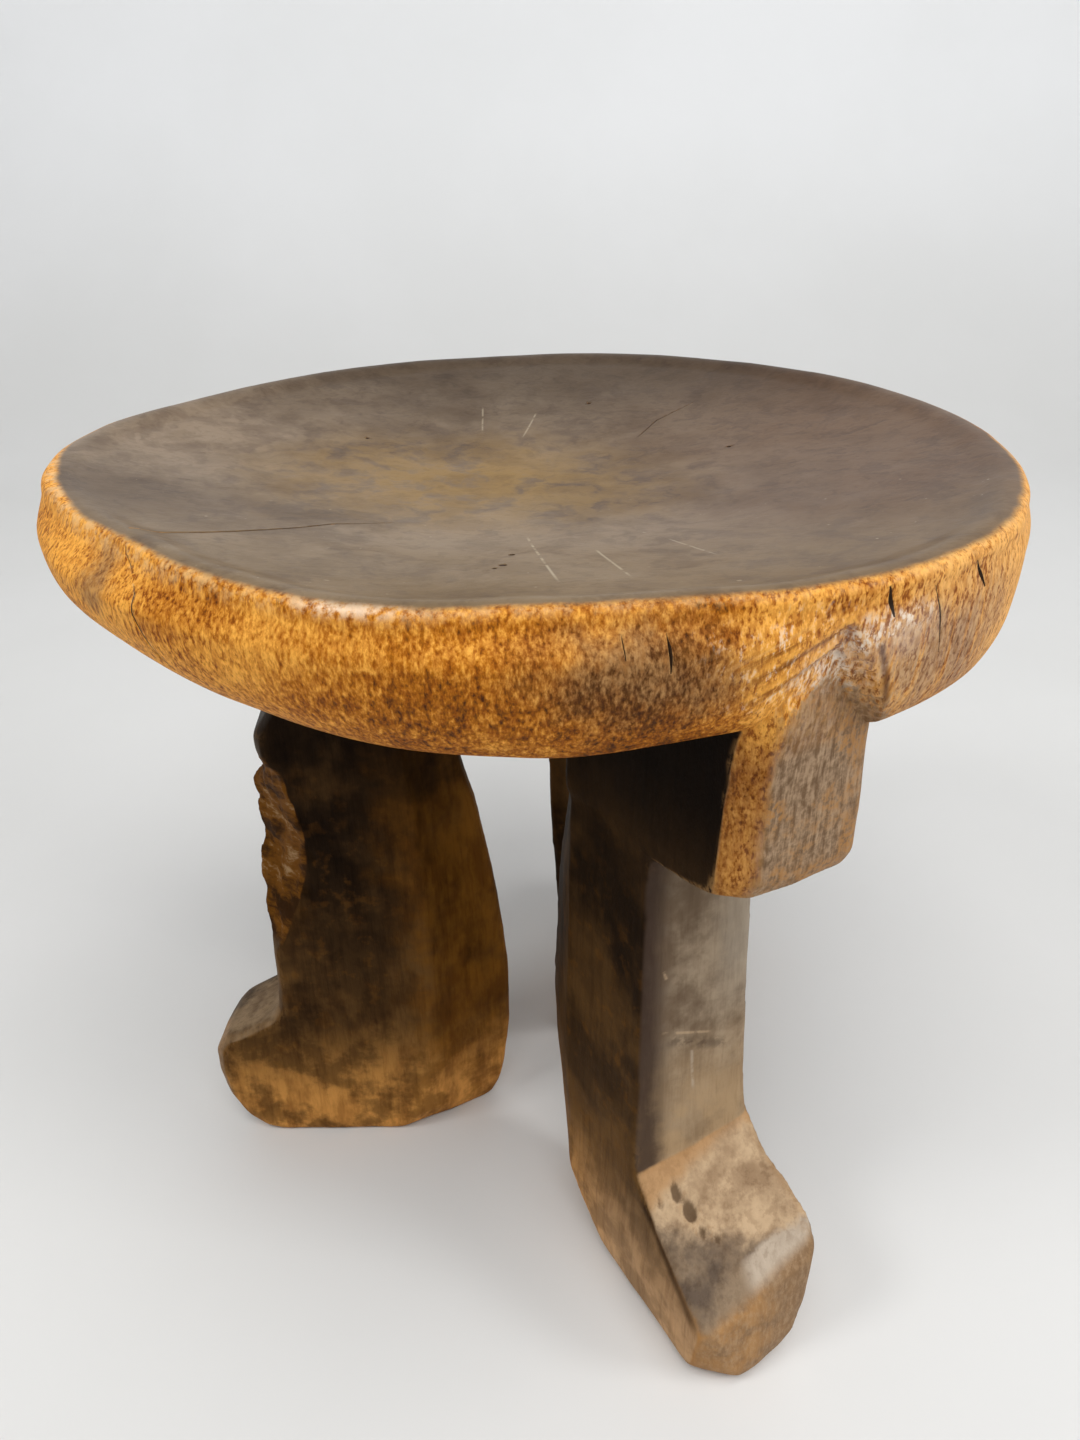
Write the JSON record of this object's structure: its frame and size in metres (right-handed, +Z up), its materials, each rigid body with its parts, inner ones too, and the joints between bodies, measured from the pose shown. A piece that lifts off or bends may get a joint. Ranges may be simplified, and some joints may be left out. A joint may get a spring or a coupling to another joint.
{
  "type": "three-legged stool",
  "caption": "Low hand-carved wooden stool: a thick round dished seat on broad radial legs, each with a shoulder block under the rim, a recessed waist and an outward foot.",
  "frame": {"origin": "on the floor, under the middle of the seat", "axes": "+Z up; -Y towards the viewer of the picture; -X along the leg with the broken shoulder"},
  "size_m": [0.3062, 0.3062, 0.2992],
  "materials": {
    "seat_wood": "old hand-polished hardwood, grey-brown on top and warm orange-brown round the rim",
    "leg_wood": "old hand-carved hardwood, dark brown with worn orange-brown edges"
  },
  "bodies": {
    "root": {"seat": "seat_wood", "front_leg": "leg_wood", "left_leg": "leg_wood", "rear_leg": "leg_wood"}
  },
  "joints": []
}
